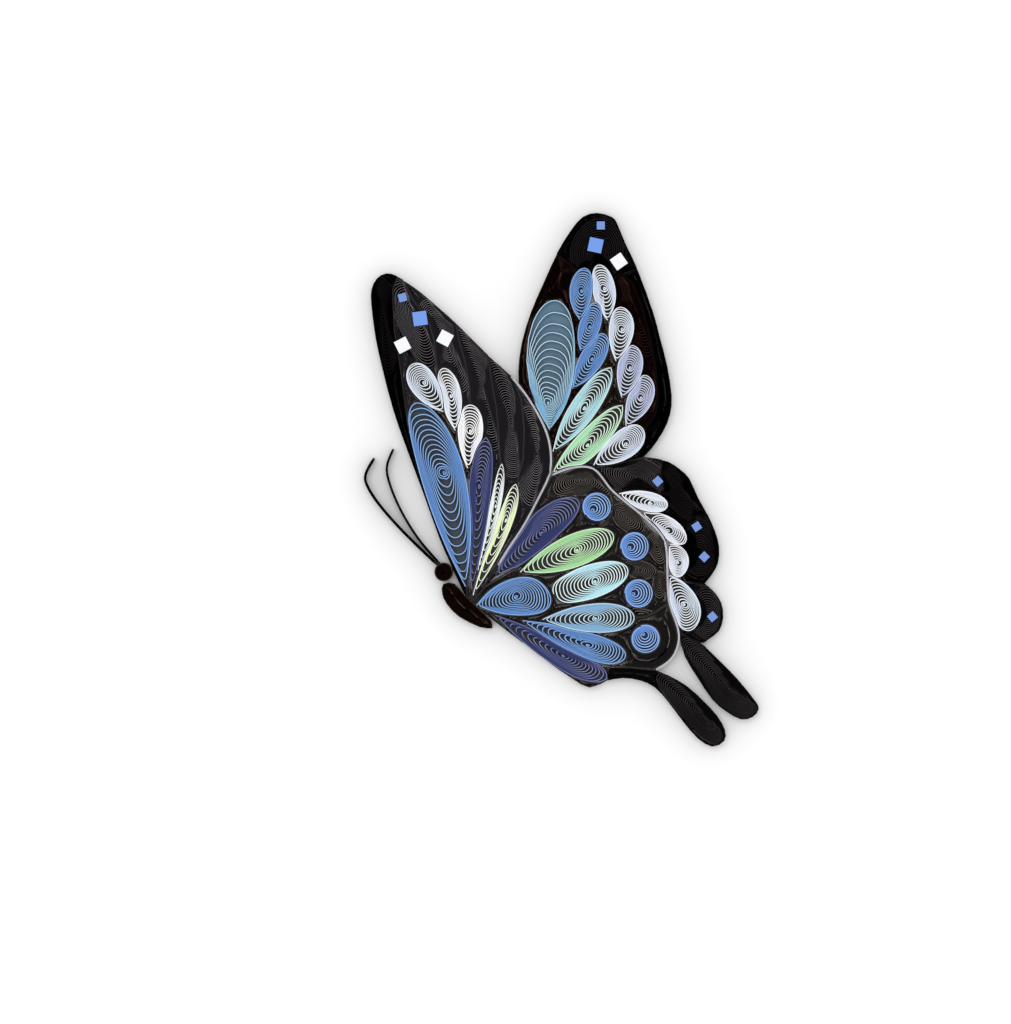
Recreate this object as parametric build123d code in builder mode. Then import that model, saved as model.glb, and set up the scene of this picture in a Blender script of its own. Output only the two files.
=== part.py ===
from build123d import *
import math
import os

# A quilled paper butterfly lying flat: narrow strips of paper stand on edge, are wound into coils,
# pinched to teardrops and leaves, and glued side by side. Lengths are in millimetres, +Y is up the
# butterfly, and the origin is under the middle of its spread.

# Paper and glue
strip_height = 3.0         # width of the quilling strip, which is the height of every coil
card_thickness = 0.25      # the small squares cut from paper and glued on top
edging_width = 0.35        # two white strips glued together, seen from above
antenna_width = 0.4        # a black strip folded double
glue_line = 0.06           # between two neighbours that are glued together

# Turns of a coil, drawn wider than the paper's own turns
outer_turns = 0.09         # share of a coil taken by the tight turns round its outside
outer_wall = 0.12          # least thickness left round a coil that is pressed out of shape
core_turns = 0.2           # share taken by the tight turns round its eye
gap_share = 0.5            # share of each turn that stands open along the coil's axis
eye_radius = 0.3           # hole that the winding tool leaves
least_wedge = 3.0          # area of the smallest black wedge between coils, in square millimetres
nose_chords = 6            # straight steps round the head of a coil
flank_chords = 3           # straight steps along each flank
round_chords = 14          # straight steps round a round coil
eye_chords = 5             # straight steps round an eye
curve_chords = 2           # straight steps between two measured points of a curve

# Head, round coils and squares
head_diameter = 3.3
round_diameter = 4.95
blunt_tail_width = 3.4
small_square = 1.38
large_square = 2.4
white_square = 2.25

# Coloured coils: where the belly, the head and the pinched tail of each lies, and its width there.
# The turns that stand open on each side of the eye are counted, and an eye that lies away from the
# belly has its own place.
coils = {
    "left_forewing_blue_coil": dict(
        belly=(-20.7, 2.0), head=(-25.3, 13.6), tail=(-16.4, -18.7), width=7.7, turns=5, eye=(-20.3, 1.3)),
    "left_forewing_navy_coil": dict(
        belly=(-13.9, -0.8), head=(-12.9, 7.3), tail=(-15.4, -19.0), width=3.9, turns=3, eye=(-14.2, -0.9)),
    "left_forewing_aqua_coil": dict(
        belly=(-11.3, -4.4), head=(-10.2, 2.8), tail=(-14.4, -15.9), width=1.9, turns=2),
    "left_forewing_green_coil": dict(
        belly=(-9.5, -6.8), head=(-7.8, -0.7), tail=(-15.3, -20.2), width=2.7, turns=2),
    "left_forewing_white_coil_1": dict(
        belly=(-24.0, 16.9), head=(-25.8, 19.9), tail=(-20.2, 11.6), width=4.8, turns=2),
    "left_forewing_white_coil_2": dict(
        belly=(-19.1, 14.9), head=(-20.4, 19.3), tail=(-18.2, 8.3), width=3.8, turns=2),
    "left_forewing_white_coil_3": dict(
        belly=(-15.6, 9.0), head=(-15.6, 13.0), tail=(-16.1, 1.8), width=4.4, turns=2),
    "right_forewing_blue_coil": dict(
        belly=(-1.9, 20.4), head=(-0.1, 31.0), tail=(-2.0, 8.5), width=8.6, turns=5, eye=(-2.3, 13.3),
        lean=24),
    "right_forewing_small_blue_coil_1": dict(
        belly=(3.4, 32.6), head=(4.1, 36.5), tail=(3.2, 27.4), width=4.0, turns=2),
    "right_forewing_small_blue_coil_2": dict(
        belly=(4.9, 26.4), head=(6.1, 30.5), tail=(3.3, 22.1), width=3.7, turns=2),
    "right_forewing_small_blue_coil_3": dict(
        belly=(5.5, 21.2), head=(7.6, 25.1), tail=(1.9, 15.5), width=4.1, turns=2),
    "right_forewing_aqua_coil": dict(
        belly=(4.0, 12.5), head=(8.6, 19.3), tail=(-1.5, 4.7), width=4.6, turns=3),
    "right_forewing_green_coil": dict(
        belly=(4.6, 6.1), head=(10.6, 12.8), tail=(-1.7, 0.7), width=4.6, turns=3),
    "right_forewing_white_coil_1": dict(
        belly=(7.4, 32.6), head=(6.4, 37.1), tail=(8.0, 27.3), width=4.0, turns=2),
    "right_forewing_white_coil_2": dict(
        belly=(10.4, 26.1), head=(10.3, 29.8), tail=(9.4, 20.3), width=4.4, turns=2),
    "right_forewing_white_coil_3": dict(
        belly=(11.9, 19.5), head=(12.4, 23.2), tail=(10.4, 14.0), width=4.4, turns=2),
    "right_forewing_white_coil_4": dict(
        belly=(13.8, 14.4), head=(14.8, 18.0), tail=(11.1, 9.1), width=4.4, turns=2),
    "right_forewing_white_coil_5": dict(
        belly=(11.3, 6.4), head=(14.1, 8.9), tail=(5.5, 2.4), width=5.0, turns=2),
    "right_hindwing_white_coil_1": dict(
        belly=(15.3, -3.9), head=(18.4, -4.6), tail=(9.8, -2.4), width=3.5, turns=2),
    "right_hindwing_white_coil_2": dict(
        belly=(18.4, -8.4), head=(21.5, -10.9), tail=(13.2, -5.8), width=3.8, turns=2),
    "right_hindwing_white_coil_3": dict(
        belly=(20.1, -13.8), head=(20.3, -16.9), tail=(18.6, -11.0), width=3.8, turns=2),
    "right_hindwing_white_coil_4": dict(
        belly=(21.5, -22.1), head=(22.3, -26.1), tail=(18.4, -16.3), width=5.0, turns=2),
    "left_hindwing_navy_coil": dict(
        belly=(-2.5, -7.7), head=(3.1, -3.4), tail=(-13.1, -18.4), width=5.5, turns=4, eye=(-3.3, -9.0)),
    "left_hindwing_green_coil": dict(
        belly=(2.8, -12.0), head=(9.2, -9.4), tail=(-7.2, -16.0), width=5.8, turns=4),
    "left_hindwing_aqua_coil": dict(
        belly=(5.3, -17.5), head=(11.7, -15.3), tail=(-1.2, -19.7), width=5.9, turns=4,
        blunt=blunt_tail_width),
    "left_hindwing_blue_coil": dict(
        belly=(-6.1, -20.0), head=(-1.6, -20.7), tail=(-14.7, -21.7), width=6.8, turns=4,
        eye=(-7.6, -20.0)),
    "left_hindwing_pale_blue_coil": dict(
        belly=(7.2, -23.8), head=(12.8, -23.8), tail=(-3.4, -24.1), width=5.2, turns=4, eye=(6.0, -23.8)),
    "left_hindwing_long_blue_coil": dict(
        belly=(6.7, -29.3), head=(11.2, -30.6), tail=(-6.9, -24.2), width=4.5, turns=3, eye=(4.8, -28.5)),
    "left_hindwing_lower_navy_coil": dict(
        belly=(2.2, -31.6), head=(8.0, -34.3), tail=(-11.6, -23.2), width=4.3, turns=3, eye=(0.6, -30.4)),
}

# Four round coils, and how far and which way the open side of each leans
round_places = [(6.1, -4.7), (12.6, -11.5), (13.3, -19.6), (14.5, -27.4)]
round_open_angles = [35, 10, 0, -70]
round_eye_shift = 0.55
round_turns = 2

# Edging strips and antennae follow smooth curves
left_forewing_edge = [(-8.6, 17.7), (-6.4, 15.1), (-4.5, 12.1), (-2.6, 8.5), (-1.8, 5.1), (-1.8, 1.1),
                      (-3.5, -2.3), (-6.4, -8.0), (-8.7, -11.2), (-10.8, -14.7)]
left_hindwing_edge = [(-1.5, 0.8), (0.7, 1.8), (3.7, 2.3), (5.6, 1.9), (6.8, 0.7), (8.2, -1.3),
                      (9.5, -2.6), (13.0, -5.4), (16.1, -8.1), (17.9, -10.5), (18.2, -13.5),
                      (18.3, -18.0), (18.5, -21.2), (19.6, -24.1), (20.1, -25.7), (20.3, -27.6),
                      (19.7, -29.7), (18.5, -31.4), (16.3, -32.7)]
head_centre = (-20.2, -15.9)
left_antenna_bends = [(-25.2, -11.0), (-28.9, -7.2), (-32.0, -3.5), (-33.6, -0.7), (-33.8, 0.9),
                      (-32.2, 3.6)]
right_antenna_bends = [(-23.3, -11.8), (-25.2, -9.4), (-27.6, -5.4), (-29.1, -2.0), (-30.0, 0.9),
                       (-30.0, 2.7), (-28.9, 5.2)]
left_antenna_root_angle = 132
right_antenna_root_angle = 117

# Outside lines of the wings, tails and body
left_forewing_rim = [(-15.7, -20.7), (-16.7, -19.5), (-19.2, -14.0), (-20.9, -10.1), (-23.8, -2.0),
                     (-26.7, 5.8), (-28.8, 11.8), (-30.7, 19.0), (-31.9, 24.5), (-32.6, 30.0),
                     (-32.6, 32.6), (-31.7, 34.5), (-30.1, 35.4), (-28.4, 35.0), (-26.7, 33.9),
                     (-24.3, 32.2), (-20.9, 29.3), (-17.9, 26.6), (-13.3, 22.0), (-8.6, 17.7)]
left_forewing_root = [(-10.8, -14.7), (-13.0, -17.5), (-15.7, -20.7)]
right_forewing_rim = [(-7.1, 15.2), (-7.4, 18.5), (-6.8, 23.5), (-5.2, 28.8), (-3.0, 33.9),
                      (-0.7, 38.9), (1.7, 42.8), (3.7, 45.1), (6.1, 45.8), (8.7, 45.1), (9.6, 43.9),
                      (11.1, 40.3), (13.2, 35.9), (15.8, 28.8), (17.0, 24.3), (18.2, 19.7),
                      (19.0, 14.4), (18.7, 11.1), (17.5, 8.2), (15.6, 5.4), (14.1, 3.8)]
right_forewing_back = [(14.1, 3.8), (11.8, 3.0), (5.0, 1.0), (-3.0, 2.0), (-3.4, 8.0), (-7.1, 15.2)]
right_hindwing_rim = [(14.1, 3.8), (16.1, 3.6), (18.4, 3.0), (20.4, 1.7), (22.0, 0.1), (23.5, -3.2),
                      (25.1, -6.0), (26.4, -8.9), (27.1, -11.6), (26.9, -14.4), (25.8, -16.4),
                      (24.6, -17.9)]
right_hindwing_lobe = [(24.6, -17.9), (26.2, -19.3), (27.5, -21.3), (27.8, -23.8), (27.1, -26.0),
                       (25.5, -27.3), (24.6, -28.0)]
right_hindwing_back = [(24.6, -28.0), (21.5, -28.0), (19.6, -26.5), (18.0, -18.0), (16.0, -9.0),
                       (8.0, -1.5), (5.0, 1.0), (14.1, 3.8)]
left_hindwing_back = [(16.3, -32.7), (8.4, -32.4), (8.0, -34.5)]
left_hindwing_rim = [(8.0, -34.5), (4.9, -35.8), (1.8, -34.2), (-2.5, -31.2), (-6.9, -27.9),
                     (-11.6, -24.3), (-14.7, -21.8)]
left_hindwing_root = [(-14.7, -21.8), (-15.5, -20.6), (-12.0, -14.0), (-5.0, -2.0), (-1.5, 0.8)]
left_tail_rim = [(8.0, -34.5), (10.6, -34.1), (13.5, -34.5), (16.1, -35.7), (18.5, -38.3),
                 (20.9, -41.5), (23.5, -44.5), (26.0, -45.9), (28.0, -44.9), (28.1, -43.1),
                 (26.8, -40.7), (24.4, -38.1), (21.5, -35.5), (18.5, -33.8), (16.1, -32.8)]
left_tail_root = [(16.1, -32.8), (8.4, -32.4), (8.0, -34.5)]
right_tail_rim = [(20.4, -27.1), (21.3, -30.4), (23.5, -34.1), (26.0, -37.8), (28.3, -39.8),
                  (30.9, -41.2), (32.9, -40.8), (33.9, -39.5), (33.3, -38.1), (30.4, -34.5),
                  (27.4, -31.4), (24.4, -28.5)]
right_tail_root = [(24.4, -28.5), (22.0, -27.0), (20.4, -27.1)]
body_line = [(-11.9, -25.6), (-12.0, -24.4), (-14.0, -22.4), (-16.4, -20.1), (-18.4, -17.9),
             (-20.3, -18.0), (-20.5, -19.6), (-19.7, -21.4), (-17.6, -23.6), (-14.0, -25.4),
             (-11.9, -25.6)]

# Lines where one black coil is glued to the next. Where a line ends at a coloured coil it runs on to
# the coil's belly, so the black coils stay apart if the coil is made slimmer.
seams = [
    [(-28.1, 35.2), (-29.1, 32.6), (-28.8, 25.7), (-27.9, 20.2), (-27.2, 15.0), (-26.5, 9.4),
     (-25.7, 5.6), "left_forewing_blue_coil"],
    [(-27.6, 35.0), (-25.5, 30.9), (-22.9, 27.4), (-21.9, 24.0), (-21.2, 18.0), "left_forewing_white_coil_2"],
    [(-18.2, 27.5), (-17.6, 24.0), (-16.4, 19.7), (-15.7, 15.4), "left_forewing_white_coil_3"],
    [(-12.7, 22.1), (-11.9, 16.3), (-11.1, 12.0), (-10.7, 6.8), (-10.4, 2.0), "left_forewing_aqua_coil"],
    [(-8.6, 18.2), (-6.9, 13.7), (-6.4, 8.5), (-6.6, 3.4), (-7.9, -1.5), "left_forewing_green_coil"],
    ["left_forewing_blue_coil", (-16.4, -18.7), (-16.3, -19.5), (-16.6, -22.0)],
    ["left_hindwing_navy_coil", (-13.1, -18.4), (-14.2, -19.8), (-15.9, -21.6)],
    [(-1.4, 39.3), (1.2, 37.4), (3.1, 35.5), "right_forewing_small_blue_coil_1"],
    ["right_forewing_white_coil_1", (9.8, 35.2), (13.8, 36.5)],
    [(10.5, 35.4), (12.3, 33.5), (13.7, 30.0), (15.1, 24.9), (16.1, 19.7), (16.6, 14.5), (16.1, 11.1),
     (13.7, 7.8), "right_forewing_white_coil_5"],
    [(4.6, 2.9), (6.7, 2.2), (9.2, 2.7), (11.8, 3.3), (14.8, 4.0)],
    [(17.5, 4.2), (17.2, 0.8), (17.7, -1.8), "right_hindwing_white_coil_1"],
    [(25.7, -5.7), (23.0, -6.3), (20.8, -8.3), "right_hindwing_white_coil_2"],
    [(25.2, -18.0), (23.0, -17.8), (21.5, -17.5), "right_hindwing_white_coil_3"],
    [(20.1, -25.9), (22.1, -27.4), (25.2, -28.5)],
    [(8.2, -1.3), (8.9, -4.0), (8.6, -6.3), "left_hindwing_green_coil"],
    ["left_hindwing_green_coil", (-7.2, -16.0), "left_hindwing_blue_coil"],
    [(18.5, -21.2), (16.1, -22.8), (14.4, -23.6), "left_hindwing_pale_blue_coil"],
    [(2.5, -24.5), (2.5, -27.5)],
    [(5.6, -31.4), (8.7, -32.2), (11.0, -32.3), (13.5, -32.6), (17.0, -32.9)],
    ["left_hindwing_lower_navy_coil", (7.2, -33.6), (8.3, -35.2)],
    ["left_hindwing_lower_navy_coil", (-5.0, -26.5), (-7.5, -29.0)],
]

# Coloured coils that touch: the black between them is parted from belly to belly too, and between
# a belly and the edging strip that the coil leans on
touching_coils = [
    ("left_forewing_blue_coil", "left_forewing_white_coil_1"),
    ("left_forewing_white_coil_1", "left_forewing_white_coil_2"),
    ("left_forewing_white_coil_2", "left_forewing_white_coil_3"),
    ("left_forewing_blue_coil", "left_forewing_white_coil_3"),
    ("left_forewing_white_coil_3", "left_forewing_navy_coil"),
    ("left_forewing_blue_coil", "left_forewing_navy_coil"),
    ("left_forewing_navy_coil", "left_forewing_aqua_coil"),
    ("left_forewing_aqua_coil", "left_forewing_green_coil"),
    ("right_forewing_small_blue_coil_1", "right_forewing_white_coil_1"),
    ("right_forewing_small_blue_coil_1", "right_forewing_small_blue_coil_2"),
    ("right_forewing_small_blue_coil_2", "right_forewing_small_blue_coil_3"),
    ("right_forewing_small_blue_coil_2", "right_forewing_white_coil_1"),
    ("right_forewing_small_blue_coil_3", "right_forewing_white_coil_2"),
    ("right_forewing_small_blue_coil_3", "right_forewing_blue_coil"),
    ("right_forewing_small_blue_coil_3", "right_forewing_aqua_coil"),
    ("right_forewing_white_coil_1", "right_forewing_white_coil_2"),
    ("right_forewing_white_coil_2", "right_forewing_white_coil_3"),
    ("right_forewing_white_coil_3", "right_forewing_white_coil_4"),
    ("right_forewing_white_coil_4", "right_forewing_white_coil_5"),
    ("right_forewing_aqua_coil", "right_forewing_green_coil"),
    ("right_forewing_green_coil", "right_forewing_white_coil_5"),
    ("right_hindwing_white_coil_1", "right_hindwing_white_coil_2"),
    ("right_hindwing_white_coil_2", "right_hindwing_white_coil_3"),
    ("right_hindwing_white_coil_3", "right_hindwing_white_coil_4"),
    ("left_hindwing_long_blue_coil", "left_hindwing_lower_navy_coil"),
]
seams += [list(pair) for pair in touching_coils]
seams += [
    ["right_hindwing_white_coil_1", (13.0, -5.4)],
    ["right_hindwing_white_coil_2", (16.1, -8.1)],
    ["right_hindwing_white_coil_3", (18.2, -13.5)],
    ["right_hindwing_white_coil_4", (18.6, -22.0)],
]

# Black coils whose open turns show: the middle, head, tail and width of the turns
open_black_coils = {
    "left_forewing_tip_black_coil": dict(
        belly=(-24.6, 24.3), head=(-23.6, 19.9), tail=(-27.7, 32.6), width=4.8, turns=2),
    "left_forewing_shoulder_black_coil": dict(
        belly=(-19.3, 22.3), head=(-17.2, 17.5), tail=(-24.6, 29.8), width=3.4, turns=2),
    "left_forewing_middle_black_coil": dict(
        belly=(-13.8, 17.1), head=(-11.9, 10.2), tail=(-16.7, 24.3), width=3.1, turns=2),
    "left_forewing_long_black_coil": dict(
        belly=(-8.8, 9.4), head=(-8.0, 0.6), tail=(-10.4, 18.8), width=3.4, turns=2),
    "right_hindwing_top_black_coil": dict(
        belly=(12.2, 0.8), head=(6.8, 1.3), tail=(17.0, -0.8), width=3.4, turns=2),
    "right_hindwing_corner_black_coil": dict(
        belly=(21.8, -1.8), head=(19.4, 1.3), tail=(24.4, -5.6), width=2.6, turns=2),
    "left_tail_black_coil": dict(
        belly=(24.2, -41.7), head=(26.8, -45.5), tail=(15.3, -34.1), width=4.1, turns=2),
    "right_tail_black_coil": dict(
        belly=(30.4, -37.4), head=(32.6, -40.7), tail=(22.5, -28.6), width=4.1, turns=2),
}

# Black coils that are wound tight: a point inside each
tight_black_coils = {
    "left_forewing_front_black_coil": (-30.7, 25.7),
    "left_forewing_back_black_coil": (-4.5, 5.1),
    "right_forewing_tip_black_coil": (6.7, 41.5),
    "right_forewing_front_black_coil": (-1.4, 34.0),
    "right_forewing_inner_black_coil": (11.3, 31.9),
    "right_forewing_rim_black_coil": (17.3, 15.1),
    "right_forewing_small_black_coil": (8.0, 15.1),
    "right_hindwing_lobe_black_coil": (24.6, -11.3),
    "right_hindwing_lower_lobe_black_coil": (25.4, -22.8),
    "left_hindwing_top_black_coil": (4.1, -0.4),
    "left_hindwing_rim_black_coil": (15.6, -13.2),
    "left_hindwing_lower_black_coil": (18.2, -27.6),
}

# Squares: place and turn in degrees
small_blue_squares = [((-27.3, 31.3), 14), ((6.8, 43.7), 0), ((16.6, -0.3), 42), ((23.3, -8.1), 33),
                      ((24.6, -13.3), 45), ((26.0, -23.6), 40)]
large_blue_squares = [((-24.3, 27.7), 8), ((5.9, 40.3), -12)]
white_squares = [((-27.3, 23.1), 27), ((-20.0, 24.3), -28), ((9.9, 37.5), 35)]

os.makedirs("parts", exist_ok=True)


def arc_points(start, direction, end, chords):
    """Points along the arc that leaves start in a direction and ends at end."""
    across = (end[0] - start[0], end[1] - start[1])
    turn = math.atan2(
        direction[0] * across[1] - direction[1] * across[0],
        direction[0] * across[0] + direction[1] * across[1],
    )
    points = []
    for step in range(1, chords + 1):
        share = step / chords
        reach = math.hypot(*across) * (math.sin(turn * share) / math.sin(turn) if turn else share)
        heading = math.atan2(direction[1], direction[0]) + turn * share
        points.append((start[0] + reach * math.cos(heading), start[1] + reach * math.sin(heading)))
    return points


def teardrop(coil, grow=0.0):
    """The head half and the tail half of a pinched coil's outline, grown outwards for its glue."""
    belly, head, tail = coil["belly"], coil["head"], coil["tail"]
    length = math.dist(head, tail)
    ahead = ((head[0] - tail[0]) / length, (head[1] - tail[1]) / length)
    aside = (-ahead[1], ahead[0])
    nose = (head[0] - belly[0], head[1] - belly[1])
    reach = nose[0] * ahead[0] + nose[1] * ahead[1] + grow
    skew = nose[0] * aside[0] + nose[1] * aside[1]
    half = coil["width"] / 2 + grow
    slant = math.tan(math.radians(coil.get("lean", 0)))
    head_half = []
    for step in range(nose_chords + 1):
        angle = math.pi / 2 - math.pi * step / nose_chords
        forward = reach * math.cos(angle) + half * math.sin(angle) * slant
        sideways = half * math.sin(angle) + skew * math.cos(angle) ** 2
        head_half.append((
            belly[0] + ahead[0] * forward + aside[0] * sideways,
            belly[1] + ahead[1] * forward + aside[1] * sideways,
        ))
    tail_length = math.dist(tail, belly)
    tip_grow = 2 * grow / tail_length
    tip = (tail[0] + (tail[0] - belly[0]) * tip_grow, tail[1] + (tail[1] - belly[1]) * tip_grow)
    blunt = coil.get("blunt", 0) / 2
    right_tip = (tip[0] - aside[0] * blunt, tip[1] - aside[1] * blunt)
    left_tip = (tip[0] + aside[0] * blunt, tip[1] + aside[1] * blunt)
    back = (-ahead[0], -ahead[1])
    right_flank = arc_points(head_half[-1], back, right_tip, flank_chords)
    left_flank = arc_points(head_half[0], back, left_tip, flank_chords)
    if not blunt:
        left_flank.pop()
    return head_half, right_flank + left_flank[::-1]


def round_outline(centre, open_angle, grow=0.0):
    """The open half and the tight half of a round coil's outline."""
    radius = round_diameter / 2 + grow
    points = []
    for step in range(round_chords):
        angle = math.radians(open_angle) + math.pi / 2 - 2 * math.pi * step / round_chords
        points.append((centre[0] + radius * math.cos(angle), centre[1] + radius * math.sin(angle)))
    half = round_chords // 2 + 1
    return points[:half], points[half:]


def drawn_in(points, eye, share):
    """Points moved towards the eye, to a share of their distance from it."""
    return [(eye[0] + (x - eye[0]) * share, eye[1] + (y - eye[1]) * share) for x, y in points]


def smooth(points):
    """Points along the smooth curve through the measured ones."""
    reached = [points[0], *points, points[-1]]
    curve = []
    for before, start, end, after in zip(reached, reached[1:], reached[2:], reached[3:]):
        for step in range(curve_chords):
            share = step / curve_chords
            curve.append(tuple(
                b + (c - a) * share / 2
                + (2 * a - 5 * b + 4 * c - d) * share**2 / 2
                + (3 * b - a - 3 * c + d) * share**3 / 2
                for a, b, c, d in zip(before, start, end, after)
            ))
    return curve + [points[-1]]


def ribbon(line, width, reach=0.0):
    """The outline of a strip on edge that follows a line and runs past both of its ends."""
    left_side, right_side = [], []
    for here, (x, y) in enumerate(line):
        before, after = line[max(here - 1, 0)], line[min(here + 1, len(line) - 1)]
        length = math.dist(before, after)
        along = ((after[0] - before[0]) / length, (after[1] - before[1]) / length)
        past = {0: -reach, len(line) - 1: reach}.get(here, 0)
        x, y = x + along[0] * past, y + along[1] * past
        left_side.append((x - along[1] * width / 2, y + along[0] * width / 2))
        right_side.append((x + along[1] * width / 2, y - along[0] * width / 2))
    return left_side + right_side[::-1]


def open_gaps(head_half, tail_half, eye, turns, both_ends=True):
    """Crescents that stand open between the turns, ahead of the eye and behind it."""
    pitch = (1 - outer_turns - core_turns) / turns
    gaps = []
    for turn in range(turns):
        outer = 1 - outer_turns - turn * pitch
        inner = outer - pitch * gap_share
        ends = [head_half[1:-1]]
        if both_ends:
            ends.append(tail_half[flank_chords - 2:2 - flank_chords])
        for crescent in ends:
            gaps.append(drawn_in(crescent, eye, outer) + drawn_in(crescent[1:-1:2], eye, inner)[::-1])
    return gaps


def save(part, name):
    part.label = name
    export_step(part, f"parts/{name}.step")


# Edging strips: white strips that follow the inner edges of the two left wings
left_forewing_line = smooth(left_forewing_edge)
left_hindwing_line = smooth(left_hindwing_edge)
bed_width = edging_width + 2 * glue_line
with BuildSketch() as forewing_edging_bed:
    Polygon(*ribbon(left_forewing_line, bed_width, glue_line), align=None)
with BuildSketch() as hindwing_edging_bed:
    Polygon(*ribbon(left_hindwing_line, bed_width, glue_line), align=None)
with BuildSketch() as forewing_edging_wall:
    Polygon(*ribbon(left_forewing_line, bed_width + 2 * outer_wall), align=None)
with BuildSketch() as hindwing_edging_wall:
    Polygon(*ribbon(left_hindwing_line, bed_width + 2 * outer_wall), align=None)
beds = [forewing_edging_bed.sketch, hindwing_edging_bed.sketch]
walls = [forewing_edging_wall.sketch, hindwing_edging_wall.sketch]

with BuildPart() as left_forewing_edging:
    with BuildSketch():
        Polygon(*ribbon(left_forewing_line, edging_width), align=None)
    extrude(amount=strip_height)
save(left_forewing_edging.part, "left_forewing_edging")

with BuildPart() as left_hindwing_edging:
    with BuildSketch():
        Polygon(*ribbon(left_hindwing_line, edging_width), align=None)
        add(forewing_edging_bed.sketch, mode=Mode.SUBTRACT)
    extrude(amount=strip_height)
save(left_hindwing_edging.part, "left_hindwing_edging")



# Coloured coils are laid one after another, each pressed against those already there. A bed is what
# a laid piece takes up with its glue, and a wall is as much again as its neighbour's outer turns.
def lay(points, bed_points, wall_points):
    """The outline of a piece pressed against the pieces laid before it, as one face."""
    with BuildSketch() as shape:
        Polygon(*points, align=None)
        outline_box = shape.sketch.bounding_box()
        for bed in beds:
            if outline_box.overlaps(bed.bounding_box()):
                add(bed, mode=Mode.SUBTRACT)
    with BuildSketch() as bed_shape:
        Polygon(*bed_points, align=None)
    with BuildSketch() as wall_shape:
        Polygon(*wall_points, align=None)
    beds.append(bed_shape.sketch)
    walls.append(wall_shape.sketch)
    return shape.faces().sort_by(SortBy.AREA)[-1]


def open_parts(gaps, eye, walls_before):
    """The open crescents and the eye of a coil, kept clear of the walls of the pieces before it."""
    with BuildSketch() as open_shape:
        for gap in gaps:
            Polygon(*gap, align=None)
        with Locations(eye):
            RegularPolygon(eye_radius, eye_chords)
        gaps_box = open_shape.sketch.bounding_box()
        for wall in walls_before:
            if gaps_box.overlaps(wall.bounding_box()):
                add(wall, mode=Mode.SUBTRACT)
    return open_shape.sketch


for coil_name, coil in coils.items():
    head_half, tail_half = teardrop(coil)
    bed_halves, wall_halves = teardrop(coil, glue_line), teardrop(coil, glue_line + outer_wall)
    eye = coil.get("eye", coil["belly"])
    gaps = open_gaps(head_half, tail_half, eye, coil["turns"])
    walls_before = list(walls)
    pressed_face = lay(head_half + tail_half, bed_halves[0] + bed_halves[1], wall_halves[0] + wall_halves[1])
    with BuildPart() as coloured_coil:
        with BuildSketch():
            add(pressed_face)
            add(open_parts(gaps, eye, walls_before), mode=Mode.SUBTRACT)
        extrude(amount=strip_height)
    save(coloured_coil.part, coil_name)

with BuildPart() as round_coils:
    for place, open_angle in zip(round_places, round_open_angles):
        open_half, tight_half = round_outline(place, open_angle)
        bed_halves = round_outline(place, open_angle, glue_line)
        wall_halves = round_outline(place, open_angle, glue_line + outer_wall)
        eye = (
            place[0] - round_eye_shift * math.cos(math.radians(open_angle)),
            place[1] - round_eye_shift * math.sin(math.radians(open_angle)),
        )
        gaps = open_gaps(open_half, tight_half, eye, round_turns, both_ends=False)
        walls_before = list(walls)
        pressed_face = lay(
            open_half + tight_half, bed_halves[0] + bed_halves[1], wall_halves[0] + wall_halves[1])
        with BuildSketch():
            add(pressed_face)
            add(open_parts(gaps, eye, walls_before), mode=Mode.SUBTRACT)
        extrude(amount=strip_height)
save(round_coils.part, "left_hindwing_round_coils")

# Head: one tight black coil
with BuildPart() as head_coil:
    with BuildSketch():
        with Locations(head_centre):
            RegularPolygon(head_diameter / 2, round_chords)
            RegularPolygon(eye_radius, eye_chords, mode=Mode.SUBTRACT)
    extrude(amount=strip_height)
save(head_coil.part, "head_coil")
with BuildSketch() as head_bed:
    with Locations(head_centre):
        RegularPolygon(head_diameter / 2 + glue_line, round_chords)
beds.append(head_bed.sketch)

# Body: a crescent of black strips, bent round the roots of the wings
with BuildSketch() as body_shape:
    Polygon(*smooth(body_line)[:-1], align=None)
    add(head_bed.sketch, mode=Mode.SUBTRACT)
with BuildSketch() as body_bed:
    add(body_shape.sketch)
    offset(amount=glue_line, kind=Kind.INTERSECTION)
beds.append(body_bed.sketch)
with BuildPart() as body_coil:
    add(body_shape.sketch)
    extrude(amount=strip_height)
save(body_coil.part, "body_coil")

# Antennae: black strips that start at the head and curl at their tips
for antenna_name, root_angle, bends in (
    ("left_antenna", left_antenna_root_angle, left_antenna_bends),
    ("right_antenna", right_antenna_root_angle, right_antenna_bends),
):
    root = (
        head_centre[0] + head_diameter / 2 * math.cos(math.radians(root_angle)),
        head_centre[1] + head_diameter / 2 * math.sin(math.radians(root_angle)),
    )
    with BuildPart() as antenna:
        with BuildSketch() as antenna_shape:
            Polygon(*ribbon(smooth([root, *bends]), antenna_width), align=None)
            add(head_bed.sketch, mode=Mode.SUBTRACT)
        extrude(amount=strip_height)
    save(antenna.part, antenna_name)

# Black ground: the wings and tails without the coloured coils, parted along the seams
with BuildSketch() as black_ground:
    for lines in (
        (left_forewing_rim, left_forewing_edge, left_forewing_root),
        (right_forewing_rim, right_forewing_back),
        (right_hindwing_rim, right_hindwing_lobe, right_hindwing_back),
        (left_hindwing_edge, left_hindwing_back, left_hindwing_rim, left_hindwing_root),
        (left_tail_rim, left_tail_root),
        (right_tail_rim, right_tail_root),
    ):
        Polygon(*[point for line in lines for point in smooth(line)[:-1]], align=None)
    for bed in beds:
        add(bed, mode=Mode.SUBTRACT)
    for seam in seams:
        line = [coils[stop]["belly"] if stop in coils else stop for stop in seam]
        Polygon(*ribbon(line, glue_line), align=None, mode=Mode.SUBTRACT)

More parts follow.
